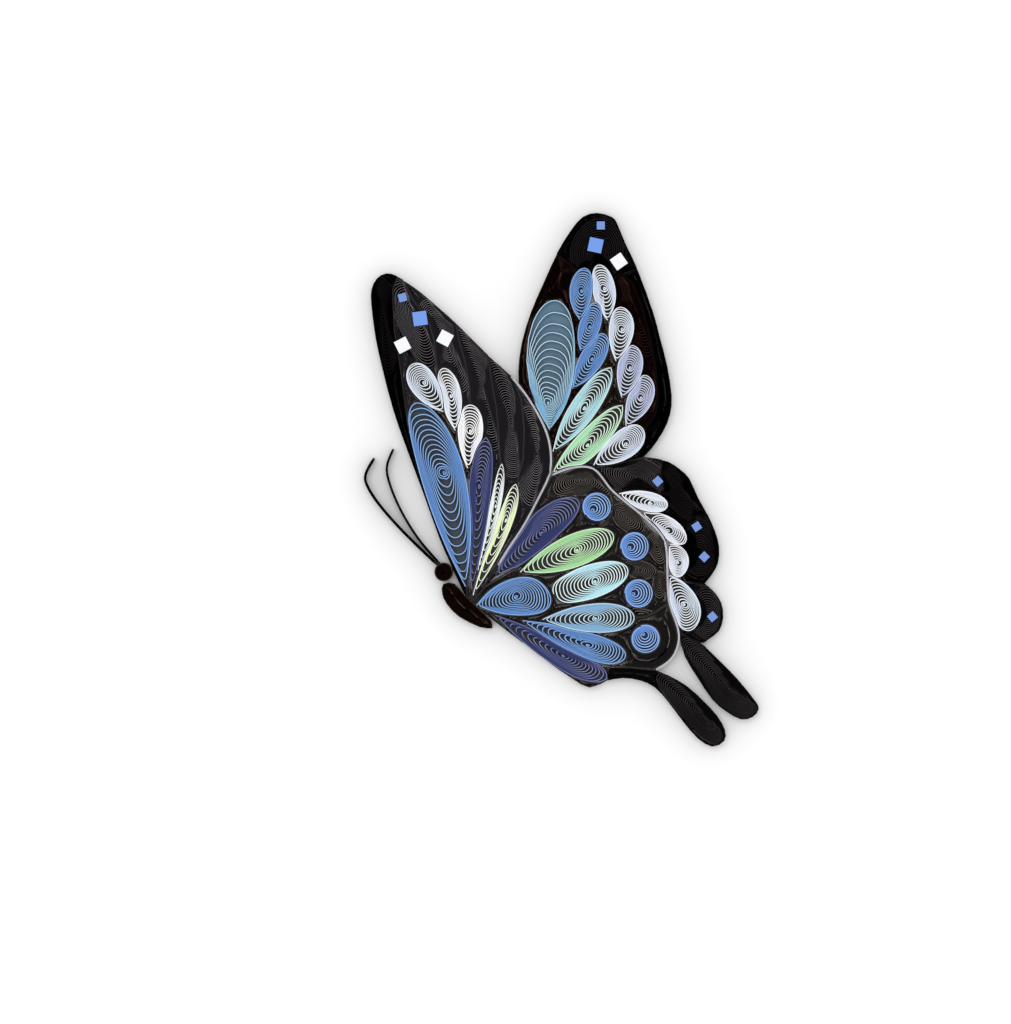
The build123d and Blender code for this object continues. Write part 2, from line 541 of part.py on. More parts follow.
# Black coils: each takes the piece of the ground that its middle lies in
ground_faces = black_ground.faces()
coil_faces = []
for coil_name, coil in open_black_coils.items():
    head_half, tail_half = teardrop(coil)
    black_gaps = open_gaps(head_half, tail_half, coil["belly"], coil["turns"], both_ends=False)
    coil_faces.append(ground_faces.sort_by_distance(coil["belly"])[0])
    with BuildPart() as black_coil:
        with BuildSketch():
            add(coil_faces[-1])
            for gap in black_gaps:
                Polygon(*gap, align=None, mode=Mode.SUBTRACT)
        extrude(amount=strip_height)
    save(black_coil.part, coil_name)

for coil_name, middle in tight_black_coils.items():
    coil_faces.append(ground_faces.sort_by_distance(middle)[0])
    with BuildPart() as black_coil:
        with BuildSketch():
            add(coil_faces[-1])
        extrude(amount=strip_height)
    save(black_coil.part, coil_name)

# Black wedges: what is left between the coils, wherever it is wide enough to be filled
with BuildPart() as black_wedges:
    with BuildSketch():
        for black_face in ground_faces:
            if black_face not in coil_faces and black_face.area > least_wedge:
                add(black_face)
    extrude(amount=strip_height)
save(black_wedges.part, "black_wedges")

# Squares: paper glued flat on top of the black coils
for square_name, side, squares in (
    ("small_blue_squares", small_square, small_blue_squares),
    ("large_blue_squares", large_square, large_blue_squares),
    ("white_squares", white_square, white_squares),
):
    with BuildPart() as paper_squares:
        with BuildSketch(Plane.XY.offset(strip_height)):
            for place, angle in squares:
                with Locations(Location((*place, 0), angle)):
                    Rectangle(side, side)
        extrude(amount=card_thickness)
    save(paper_squares.part, square_name)
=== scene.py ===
import math

import bmesh
import bpy
import numpy as np
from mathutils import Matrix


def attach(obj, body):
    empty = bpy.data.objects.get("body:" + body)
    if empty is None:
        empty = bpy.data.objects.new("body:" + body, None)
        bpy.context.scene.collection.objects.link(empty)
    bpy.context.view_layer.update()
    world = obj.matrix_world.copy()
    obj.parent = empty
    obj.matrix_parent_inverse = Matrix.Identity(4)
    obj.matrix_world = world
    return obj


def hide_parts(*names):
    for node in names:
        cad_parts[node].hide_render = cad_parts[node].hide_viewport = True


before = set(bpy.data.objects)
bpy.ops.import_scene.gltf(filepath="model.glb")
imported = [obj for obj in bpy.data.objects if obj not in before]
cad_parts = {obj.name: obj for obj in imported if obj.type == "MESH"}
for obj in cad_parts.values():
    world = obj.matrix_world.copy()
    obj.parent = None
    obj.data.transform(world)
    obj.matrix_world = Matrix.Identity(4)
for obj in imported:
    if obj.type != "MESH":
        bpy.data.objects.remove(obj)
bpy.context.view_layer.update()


# Camera, tabletop and light
# The butterfly is seen from straight above, as it lies flat, so the camera is orthographic. It lies
# on a plain pale tabletop under an even sky, with one soft lamp above.
MM = 0.001
pixel = 0.172                       # mm of the object under one pixel of the picture
picture_width, picture_height = 1011, 1024
origin_pixel = (561.25, 479.5)      # where the frame's origin lies in the picture
camera_height = 0.4                 # m
floor_size = 8                      # m
floor_colour = (1.0, 1.0, 1.0, 1.0)
floor_clouds = 18.0                 # to a metre
floor_tones = (0.99, 1.0)           # darkest and lightest
sky_strength = 0.74
lamp_strength = 0.95
lamp_lean = (-5, -3)                # degrees about X and Y
lamp_breadth = 35                   # degrees

bpy.ops.object.select_all(action="DESELECT")
bpy.ops.object.camera_add(
    location=(
        (picture_width / 2 - origin_pixel[0]) * pixel * MM,
        (origin_pixel[1] - picture_height / 2) * pixel * MM,
        camera_height,
    ),
    rotation=(0, 0, 0),
)
camera = bpy.context.object
camera.name = "photo_camera"
camera.data.type = "ORTHO"
camera.data.ortho_scale = picture_height * pixel * MM
camera.data.clip_start = 0.01
bpy.context.scene.camera = camera
bpy.context.scene.view_settings.view_transform = "Standard"


def tone_mix(tree, tone):
    """A node that multiplies a colour by a tone."""
    mixed = tree.nodes.new("ShaderNodeMix")
    mixed.data_type = "RGBA"
    mixed.blend_type = "MULTIPLY"
    mixed.inputs["Factor"].default_value = 1.0
    tree.links.new(tone, mixed.inputs["B"])
    return mixed


def clouded(tree, colour, scale, tones):
    """A colour that a soft noise makes a little darker or lighter from place to place."""
    nodes, links = tree.nodes, tree.links
    place = nodes.new("ShaderNodeTexCoord")
    clouds = nodes.new("ShaderNodeTexNoise")
    clouds.inputs["Scale"].default_value = scale
    tone = nodes.new("ShaderNodeMapRange")
    tone.inputs["To Min"].default_value = tones[0]
    tone.inputs["To Max"].default_value = tones[1]
    links.new(place.outputs["Object"], clouds.inputs["Vector"])
    links.new(clouds.outputs["Fac"], tone.inputs["Value"])
    mixed = tone_mix(tree, tone.outputs["Result"])
    mixed.inputs["A"].default_value = colour
    return mixed.outputs["Result"]


bpy.ops.mesh.primitive_plane_add(size=floor_size, location=(0, 0, 0))
floor = bpy.context.object
floor.name = "tabletop"
floor_paint = bpy.data.materials.new("tabletop")
floor_paint.use_nodes = True
floor_shader = floor_paint.node_tree.nodes["Principled BSDF"]
floor_shader.inputs["Roughness"].default_value = 0.9
floor_shader.inputs["Specular IOR Level"].default_value = 0.1
floor_cloudy = clouded(floor_paint.node_tree, floor_colour, floor_clouds, floor_tones)
floor_paint.node_tree.links.new(floor_cloudy, floor_shader.inputs["Base Color"])
floor.data.materials.append(floor_paint)

world = bpy.data.worlds.new("even_sky")
bpy.context.scene.world = world
world.use_nodes = True
nodes, links = world.node_tree.nodes, world.node_tree.links
nodes["Background"].inputs["Color"].default_value = (1.0, 1.0, 1.0, 1.0)
# the sky lights the paper softly, and where it is itself seen or mirrored it is plain white
rays = nodes.new("ShaderNodeLightPath")
seen_share = rays.outputs["Is Camera Ray"]
for kind in ("Is Glossy Ray", "Is Transmission Ray"):
    either = nodes.new("ShaderNodeMath")
    either.operation = "MAXIMUM"
    links.new(seen_share, either.inputs[0])
    links.new(rays.outputs[kind], either.inputs[1])
    seen_share = either.outputs[0]
strength = nodes.new("ShaderNodeMapRange")
strength.inputs["To Min"].default_value = sky_strength
strength.inputs["To Max"].default_value = 1.0
links.new(seen_share, strength.inputs["Value"])
links.new(strength.outputs["Result"], nodes["Background"].inputs["Strength"])

bpy.ops.object.light_add(type="SUN", rotation=(*(math.radians(lean) for lean in lamp_lean), 0))
lamp = bpy.context.object
lamp.name = "soft_lamp"
lamp.data.energy = lamp_strength
lamp.data.angle = math.radians(lamp_breadth)


# Coloured coils
# Each is one strip of quilling paper, wound, let loose and pinched, so that its turns lie packed
# along the flanks and stand open at the head and the tail. The strips stand on edge.
strip_height = 3.0
fibre_size = 0.12
# height of the dark skin of painted shade under a coil
skin_height = 0.08
open_strip = 0.17           # thickness of a strip where its turns stand open
strip_share = 0.97          # of that, so that packed turns stay apart
smoothing_passes = 14
least_cosine = 0.05         # between a spoke and the way square to a turn
flank_slack = 1.12          # turns shrink this much later across than along, so the flanks lie packed
loop_blend = 0.02           # mm over which packed and open stretches of a turn run into each other
lateness = 9                # how late a packed turn steps inwards, most for the outer turns
widest_step = 1.1           # pitches, for what counts as packed
full_highlight_room = 0.28          # mm of open room beside a strip, at which painted highlight covers its whole cut edge
outer_highlight = 0.8          # how much painted highlight lies on the cut edge of the outermost turn
hook_points = 8
hook_turn = 1 / 3           # of a turn, through which the strip's end bends
hook_reach = 0.9            # of the way across the eye, for the hook that the strip ends in
room_steps = 25             # in which a strip's share of its thickness is kept
least_room = 0.2

TAIL, HEAD, LEFT, RIGHT = 0, 1, 2, 3


def loops_of(node_name):
    """The closed lines round a node's top face, in mm, longest first, read from a merged copy."""
    shape = bmesh.new()
    shape.from_mesh(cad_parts[node_name].data)
    bmesh.ops.remove_doubles(shape, verts=shape.verts, dist=1e-6)
    top = {face for face in shape.faces if face.normal.z > 0.9}
    following = {}
    for edge in shape.edges:
        sides = [loop for loop in edge.link_loops if loop.face in top]
        if len(sides) == 1:
            following[sides[0].vert] = sides[0].link_loop_next.vert
    loops = []
    while following:
        vert = next(iter(following))
        line = []
        while vert in following:
            line.append((vert.co.x / MM, vert.co.y / MM))
            vert = following.pop(vert)
        loops.append(np.array(line))
    shape.free()
    loops.sort(key=lambda line: -np.ptp(line, axis=0).sum())
    return loops


def drawn_smooth(line, corner=85.0, steps=6):
    """A closed line drawn smoothly through its points, with its sharp corners kept."""
    arriving = line - np.roll(line, 1, axis=0)
    leaving = np.roll(line, -1, axis=0) - line
    length_in = np.linalg.norm(arriving, axis=1)[:, None]
    length_out = np.linalg.norm(leaving, axis=1)[:, None]
    way_in, way_out = arriving / length_in, leaving / length_out
    across = way_in[:, 0] * way_out[:, 1] - way_in[:, 1] * way_out[:, 0]
    turn = np.degrees(np.abs(np.arctan2(across, (way_in * way_out).sum(axis=1))))[:, None]
    mean_way = way_in * length_out + way_out * length_in
    mean_way /= np.linalg.norm(mean_way, axis=1)[:, None] + 1e-9
    start_way = np.where(turn > corner, way_out, mean_way)
    end_way = np.roll(np.where(turn > corner, way_in, mean_way), -1, axis=0)
    ends = np.roll(line, -1, axis=0)
    pieces = []
    for step in range(steps):
        t = step / steps
        pieces.append(
            (2 * t**3 - 3 * t**2 + 1) * line
            + (t**3 - 2 * t**2 + t) * length_out * start_way
            + (3 * t**2 - 2 * t**3) * ends
            + (t**3 - t**2) * length_out * end_way
        )
    curve = np.stack(pieces, axis=1).reshape(-1, 2)
    kept = np.repeat(turn > corner, steps, axis=0)
    kept[np.arange(len(kept)) % steps != 0] = False
    for _ in range(smoothing_passes):
        mean = (np.roll(curve, 1, axis=0) + 2 * curve + np.roll(curve, -1, axis=0)) / 4
        curve = np.where(kept, curve, mean)
    return curve


def drawn_in(line, distance):
    """A closed line moved inwards by a distance in mm, or outwards where it is negative."""
    along = np.roll(line, -1, axis=0) - np.roll(line, 1, axis=0)
    outward = np.stack((along[:, 1], -along[:, 0]), axis=1)
    return line - distance * outward / (np.linalg.norm(outward, axis=1)[:, None] + 1e-9)


def reach(centre, way, line):
    """How many lengths of way lie between the centre and the line, going outwards."""
    start = line - centre
    side = np.roll(line, -1, axis=0) - line
    cross = way[0] * side[:, 1] - way[1] * side[:, 0]
    cross = np.where(np.abs(cross) < 1e-12, 1e-12, cross)
    along_way = (start[:, 0] * side[:, 1] - start[:, 1] * side[:, 0]) / cross
    along_side = (start[:, 0] * way[1] - start[:, 1] * way[0]) / cross
    hits = along_way[(along_side >= -1e-6) & (along_side <= 1 + 1e-6) & (along_way > 0)]
    return hits.min()


def wind(line, eye, head, tail, turns, pitch, core, belly=None, rings=0, loose=(1.0, 1.0),
         squareness=(2.5, 2.5), points=64):
    """The turns of a pinched coil inside its outside line, as radii round its eye, outermost first.

    The flanks lie packed one pitch apart. From one turn to the next the head and the tail draw in by
    an equal share of what is left, down to an open core round the eye with a few rings in it."""
    belly = eye if belly is None else belly
    eye, belly, head, tail = (np.array(spot, float) for spot in (eye, belly, head, tail))
    along = (head - tail) / np.linalg.norm(head - tail)
    side = np.array((-along[1], along[0]))
    angle = np.arange(points) * 2 * math.pi / points
    lengthwise, sideways = np.cos(angle)[:, None], np.sin(angle)[:, None]

    def ends_from(middle):
        """The four arms from a middle to the line: to the tail, the head, the left and the right."""
        arms = []
        for way in (tail - middle, head - middle, side, -side):
            way = way / (np.linalg.norm(way) + 1e-9)
            arms.append(way * reach(middle, way, line))
        return arms

    def spokes(arms):
        return (np.abs(lengthwise) * np.where(lengthwise > 0, arms[TAIL], arms[HEAD])
                + np.abs(sideways) * np.where(sideways > 0, arms[LEFT], arms[RIGHT]))

    def across(radius):
        """How far a turn moves square to itself where its radius grows by one."""
        at = eye + radius[:, None] * ways
        edge = np.roll(at, -1, axis=0) - at
        normal = np.stack((edge[:, 1], -edge[:, 0]), axis=1)
        normal /= np.linalg.norm(normal, axis=1)[:, None] + 1e-9
        after = np.abs((ways * normal).sum(axis=1))
        before = np.abs((ways * np.roll(normal, 1, axis=0)).sum(axis=1))
        return np.maximum(np.minimum(after, before), least_cosine)

    ways = spokes(ends_from(eye))
    outer_arms = ends_from(belly)
    outside = np.array([reach(eye, way, line) for way in ways])
    core_radius = core / np.linalg.norm(ways, axis=1)
    radii = [outside - pitch / 2 / across(outside)]
    for turn in range(1, turns + 1):
        share = turn / turns
        width = across(radii[-1])
        room = np.maximum(radii[-1] - core_radius, 0) * width / (turns - turn + 1)
        packed = radii[-1] - np.minimum(pitch, room) / width
        spare = 1 - share
        middle = eye + (belly - eye) * spare
        arms = []
        for end, arm in enumerate(outer_arms):
            if end in (TAIL, HEAD):
                way = belly + arm - eye
                full = np.linalg.norm(way)
                arms.append(eye + way * (core + (full - core) * spare ** loose[end]) / full - middle)
            else:
                full = np.linalg.norm(arm)
                arms.append(arm / full * (core + (full - core) * min(flank_slack * spare, 1.0)))
        power = np.where(lengthwise > 0, squareness[TAIL], squareness[HEAD])
        power = 2 + (power - 2) * spare
        squared = (np.abs(lengthwise) ** power + np.abs(sideways) ** power) ** (-1 / power)
        loop = middle + spokes(arms) * squared
        shape = np.array([reach(eye, way, loop) for way in ways])
        blend = loop_blend * spare
        soft = np.maximum(blend - np.abs(packed - shape), 0) ** 2 / (4 * blend + 1e-9)
        radius = np.minimum(packed, shape) - soft
        radii.append((np.roll(radius, 1) + 6 * radius + np.roll(radius, -1)) / 8)
    for ring in range(rings):
        radii.append(core_radius * (1 - (ring + 1) / (rings + 1.5)))
    return eye, ways, radii


def pick(pieces):
    """Selects these pieces alone, with the first as the active one."""
    bpy.ops.object.select_all(action="DESELECT")
    for piece in pieces:
        piece.select_set(True)
    bpy.context.view_layer.objects.active = pieces[0]


def face_outwards():
    """Turns the faces of the active piece outwards."""
    bpy.ops.object.mode_set(mode="EDIT")
    bpy.ops.mesh.select_all(action="SELECT")
    bpy.ops.mesh.normals_make_consistent(inside=False)
    bpy.ops.object.mode_set(mode="OBJECT")


def lay_strips(name, lines, thickness):
    """One piece of paper strips on edge. A line holds its points in mm, and for each point how much
    painted highlight lies on its cut edge there, the number of the turn and what share of the thickness
    finds room. It ends with whether the line is closed."""
    path = bpy.data.curves.new(name, "CURVE")
    path.dimensions = "3D"
    edge_highlights, turns, widths = [], [], []
    for points, edge_highlight, turn, width, closed in lines:
        spline = path.splines.new("POLY")
        spline.points.add(len(points) - 1)
        for spot, (x, y) in zip(spline.points, points):
            spot.co = (x * MM, y * MM, 0, 1)
        spline.use_cyclic_u = closed
        edge_highlights += list(edge_highlight)
        turns += list(turn)
        widths += list(width)
    piece = bpy.data.objects.new(name, path)
    bpy.context.collection.objects.link(piece)
    pick([piece])
    bpy.ops.object.convert(target="MESH")
    piece = bpy.context.object
    for label, values in (("edge_highlight", edge_highlights), ("turn", turns)):
        marks = piece.data.attributes.new(label, "FLOAT", "POINT")
        marks.data.foreach_set("value", np.array(values, np.float32))
    room = piece.vertex_groups.new(name="room")
    steps = np.round(np.clip(widths, least_room, 1) * room_steps).astype(int)
    for step in np.unique(steps):
        room.add(np.nonzero(steps == step)[0].tolist(), step / room_steps, "REPLACE")
    bpy.ops.object.mode_set(mode="EDIT")
    bpy.ops.mesh.select_all(action="SELECT")
    bpy.ops.mesh.extrude_edges_move(TRANSFORM_OT_translate={"value": (0, 0, strip_height * MM)})
    bpy.ops.object.mode_set(mode="OBJECT")
    wall = piece.modifiers.new("paper", "SOLIDIFY")
    wall.thickness = thickness * MM
    wall.offset = 0
    wall.vertex_group = room.name
    bpy.ops.object.modifier_apply(modifier=wall.name)
    face_outwards()
    return piece


def shade_skin(piece, line, material, height=skin_height):
    """A thin dark skin under a coil, painted shade seen down between its turns, joined to the coil."""
    skin = bpy.data.meshes.new("shade_skin")
    skin.from_pydata([(x * MM, y * MM, 0) for x, y in line], [], [range(len(line))])
    film = bpy.data.objects.new("shade_skin", skin)
    bpy.context.collection.objects.link(film)
    film.data.materials.append(material)
    pick([film])
    bpy.ops.object.mode_set(mode="EDIT")
    bpy.ops.mesh.select_all(action="SELECT")
    bpy.ops.mesh.extrude_region_move(TRANSFORM_OT_translate={"value": (0, 0, height * MM)})
    bpy.ops.object.mode_set(mode="OBJECT")
    face_outwards()
    pick([piece, film])
    bpy.ops.object.join()


# the skins under the coils are painted shade, a little blotchy
shade_skin_cloud_size = 1.5       # mm
shade_skin_tones = (0.8, 1.2)


def shade_skin_paint(name, tint):
    """Dark paint for the skin under a coil, painted shade tinted like its paper, a little shiny."""
    material = bpy.data.materials.new(name)
    material.use_nodes = True
    shader = material.node_tree.nodes["Principled BSDF"]
    shader.inputs["Roughness"].default_value = 0.45
    cloudy = clouded(material.node_tree, (*tint, 1), 1 / (shade_skin_cloud_size * MM), shade_skin_tones)
    material.node_tree.links.new(cloudy, shader.inputs["Base Color"])
    return material


def wound_lines(eye, ways, radii, pitch, strip):
    """One strip that winds in from the outer turn and hooks across the eye."""
    gaps, cosines = [], []
    for inner, outer in zip(radii[1:], radii[:-1]):
        at = eye + outer[:, None] * ways
        edge = np.roll(at, -1, axis=0) - np.roll(at, 1, axis=0)
        normal = np.stack((edge[:, 1], -edge[:, 0]), axis=1)
        normal /= np.linalg.norm(normal, axis=1)[:, None] + 1e-9
        cosines.append(np.abs((ways * normal).sum(axis=1)) + 1e-6)
        gaps.append(cosines[-1] * (outer - inner))
    share = np.arange(len(ways)) / len(ways)
    points, edge_highlight, turn, width = [], [], [], []
    for number in range(len(radii) - 1):
        late = share ** (1 + lateness * (1 - number / (len(radii) - 1)))
        step = radii[number] - radii[number + 1]
        packed = np.minimum(step, widest_step * pitch / cosines[number])
        # the first turns keep to the outline round the head, so they step inwards late too
        radius = radii[number] - packed * late - (step - packed) * share ** max(4 / 2**number, 1)
        points.append(eye + radius[:, None] * ways)
        before = gaps[max(number - 1, 0)]
        edge_highlight.append(np.clip((np.maximum(before, gaps[number]) - pitch) / full_highlight_room, 0, 1))
        turn.append(number + share)
        width.append(np.clip(np.minimum(before, gaps[number]) / strip, 0, 1))
    # the outermost turn carries painted highlight on its cut edge
    edge_highlight[0][:] = outer_highlight
    # the inner end of the strip hooks across the eye, where the winding tool held it
    along_hook = np.linspace(0, 1, hook_points + 1)[1:]
    around = (along_hook * len(ways) * hook_turn).astype(int)
    arm = radii[-1][around] * hook_reach * (1 - 2 * along_hook)
    points.append(eye + arm[:, None] * ways[around])
    edge_highlight.append(np.full(len(arm), edge_highlight[-1].mean()))
    turn.append(len(radii) - 1 + along_hook)
    width.append(np.full(len(arm), width[-1].mean()))
    return [(np.concatenate(points), np.concatenate(edge_highlight), np.concatenate(turn),
             np.concatenate(width), False)]


highlight_band = (0.06, 0.02)    # mm below the top, where the painted highlight on the cut edge starts and is whole
shade_band = (1.6, 0.05)        # mm below the top, where the painted shade between turns is whole and starts
turn_noise_scale = 1.7
fibre_tones = (0.93, 1.07)


def strip_group():
    """Paper strip colour: painted highlight on open cut edges, painted shade deep between turns."""
    group = bpy.data.node_groups.new("strip_colour", "ShaderNodeTree")
    for socket, kind in (("Paper", "NodeSocketColor"), ("Lit cut edge", "NodeSocketColor"),
                         ("Depth shade", "NodeSocketFloat"), ("Turn contrast", "NodeSocketFloat")):
        group.interface.new_socket(socket, in_out="INPUT", socket_type=kind)
    for socket, kind in (("Colour", "NodeSocketColor"), ("Height", "NodeSocketFloat")):
        group.interface.new_socket(socket, in_out="OUTPUT", socket_type=kind)
    nodes, links = group.nodes, group.links
    given, result = nodes.new("NodeGroupInput"), nodes.new("NodeGroupOutput")
    place = nodes.new("ShaderNodeTexCoord")
    edge_highlight, turn = nodes.new("ShaderNodeAttribute"), nodes.new("ShaderNodeAttribute")
    edge_highlight.attribute_name, turn.attribute_name = "edge_highlight", "turn"
    parts = nodes.new("ShaderNodeSeparateXYZ")
    links.new(place.outputs["Object"], parts.inputs["Vector"])

    def maths(operation, *values):
        """What a sum or a product of numbers and outputs gives."""
        step = nodes.new("ShaderNodeMath")
        step.operation = operation
        for socket, value in zip(step.inputs, values):
            if isinstance(value, float):
                socket.default_value = value
            else:
                links.new(value, socket)
        return step.outputs[0]

    def share_of(band):
        """How far up a spot lies in a band, whose ends are given in mm below the top."""
        share = nodes.new("ShaderNodeMapRange")
        share.inputs["From Min"].default_value = (strip_height - band[0]) * MM
        share.inputs["From Max"].default_value = (strip_height - band[1]) * MM
        links.new(parts.outputs["Z"], share.inputs["Value"])
        return share.outputs["Result"]

    # painted highlight: the cut edge is lighter where the turns stand open
    highlight_share = maths("MULTIPLY", share_of(highlight_band), edge_highlight.outputs["Fac"])
    # each turn is a touch lighter or darker than the next
    turn_noise = nodes.new("ShaderNodeTexNoise")
    turn_noise.noise_dimensions = "1D"
    turn_noise.inputs["Scale"].default_value = turn_noise_scale
    turn_noise.inputs["Detail"].default_value = 0.0
    links.new(turn.outputs["Fac"], turn_noise.inputs["W"])
    centred = maths("SUBTRACT", turn_noise.outputs["Fac"], 0.5)
    turn_tone = maths("MULTIPLY_ADD", centred, given.outputs["Turn contrast"], 1.0)
    # paper fibres
    fibres = nodes.new("ShaderNodeTexNoise")
    fibres.inputs["Scale"].default_value = 1 / (fibre_size * MM)
    fibres.inputs["Detail"].default_value = 3.0
    links.new(place.outputs["Object"], fibres.inputs["Vector"])
    fibre_tone = nodes.new("ShaderNodeMapRange")
    fibre_tone.inputs["To Min"].default_value = fibre_tones[0]
    fibre_tone.inputs["To Max"].default_value = fibre_tones[1]
    links.new(fibres.outputs["Fac"], fibre_tone.inputs["Value"])
    # painted shade: darker towards the strip's foot, down between the turns
    painted_depth_shade = nodes.new("ShaderNodeMix")
    painted_depth_shade.data_type = "FLOAT"
    painted_depth_shade.inputs["B"].default_value = 1.0
    links.new(given.outputs["Depth shade"], painted_depth_shade.inputs["A"])
    links.new(share_of(shade_band), painted_depth_shade.inputs["Factor"])
    tone = maths("MULTIPLY", turn_tone, fibre_tone.outputs["Result"])
    whole_tone = maths("MULTIPLY", tone, painted_depth_shade.outputs["Result"])
    mixed = nodes.new("ShaderNodeMix")
    mixed.data_type = "RGBA"
    links.new(highlight_share, mixed.inputs["Factor"])
    links.new(given.outputs["Paper"], mixed.inputs["A"])
    links.new(given.outputs["Lit cut edge"], mixed.inputs["B"])
    toned = tone_mix(group, whole_tone)
    links.new(mixed.outputs["Result"], toned.inputs["A"])
    links.new(toned.outputs["Result"], result.inputs["Colour"])
    links.new(fibres.outputs["Fac"], result.inputs["Height"])
    return group


strip_colour = strip_group()


def quilling_paper(name, paper, lit_cut_edge, depth_shade, turn_contrast=0.35, shine=0.25):
    """Matt coloured paper for the strips, in the colours written, with painted highlight and shade."""
    material = bpy.data.materials.new(name)
    material.use_nodes = True
    nodes, links = material.node_tree.nodes, material.node_tree.links
    shader = nodes["Principled BSDF"]
    shader.inputs["Roughness"].default_value = 0.75
    shader.inputs["Specular IOR Level"].default_value = shine
    colour = nodes.new("ShaderNodeGroup")
    colour.node_tree = strip_colour
    colour.inputs["Paper"].default_value = (*paper, 1)
    colour.inputs["Lit cut edge"].default_value = (*lit_cut_edge, 1)
    colour.inputs["Depth shade"].default_value = depth_shade
    colour.inputs["Turn contrast"].default_value = turn_contrast
    bump = nodes.new("ShaderNodeBump")
    bump.inputs["Strength"].default_value = 0.25
    bump.inputs["Distance"].default_value = 0.02 * MM
    links.new(colour.outputs["Colour"], shader.inputs["Base Color"])
    links.new(colour.outputs["Height"], bump.inputs["Height"])
    links.new(bump.outputs["Normal"], shader.inputs["Normal"])
    return material


def seen(red, green, blue):
    """A colour as it is seen, out of 255, turned by the standard curve into what a shader takes."""
    return tuple(((c / 255 + 0.055) / 1.055) ** 2.4 if c > 10 else c / 3294 for c in (red, green, blue))


# each paper's face, the painted highlight on its cut edge, and the light left between turns by painted
# shade
paper_colours = {
    "blue": ((90, 132, 194), (142, 181, 232), 0.1),
    "grey_blue": ((118, 172, 212), (186, 220, 236), 0.1),
    "bright_blue": ((98, 141, 214), (148, 186, 242), 0.1),
    "pale_blue": ((128, 172, 210), (204, 228, 236), 0.1),
    "navy": ((40, 48, 97), (116, 124, 178), 0.1),
    "aqua": ((168, 216, 224), (218, 238, 236), 0.06),
    "green": ((160, 218, 152), (222, 242, 216), 0.06),
    "yellow_green": ((236, 254, 196), (253, 255, 246), 0.06),
    "light_green": ((170, 226, 180), (226, 244, 226), 0.06),
    "light_aqua": ((180, 230, 242), (232, 249, 248), 0.06),
    "pale_aqua": ((236, 246, 246), (252, 253, 250), 0.06),
    "lavender": ((172, 182, 214), (218, 224, 242), 0.06),
    "white": ((222, 228, 240), (248, 249, 250), 0.06),
    "cool_white": ((204, 216, 234), (238, 244, 250), 0.06),
    "bright_white": ((242, 243, 246), (253, 253, 253), 0.06),
}
papers = {
    name: quilling_paper(name + "_paper", seen(*face), seen(*edge), depth_shade)
    for name, (face, edge, depth_shade) in paper_colours.items()
}

# for each paper the tint of the painted shade in the skin under its coils
shade_skin_colours = {
    "blue": (16, 48, 78),
    "grey_blue": (76, 122, 150),
    "bright_blue": (26, 58, 116),
    "pale_blue": (24, 54, 82),
    "navy": (8, 9, 26),
    "aqua": (20, 38, 42),
    "green": (22, 40, 26),
    "white": (30, 31, 38),
}
shade_skin_paints = {name: shade_skin_paint(name + "_shade_skin", seen(*tint)) for name, tint in shade_skin_colours.items()}
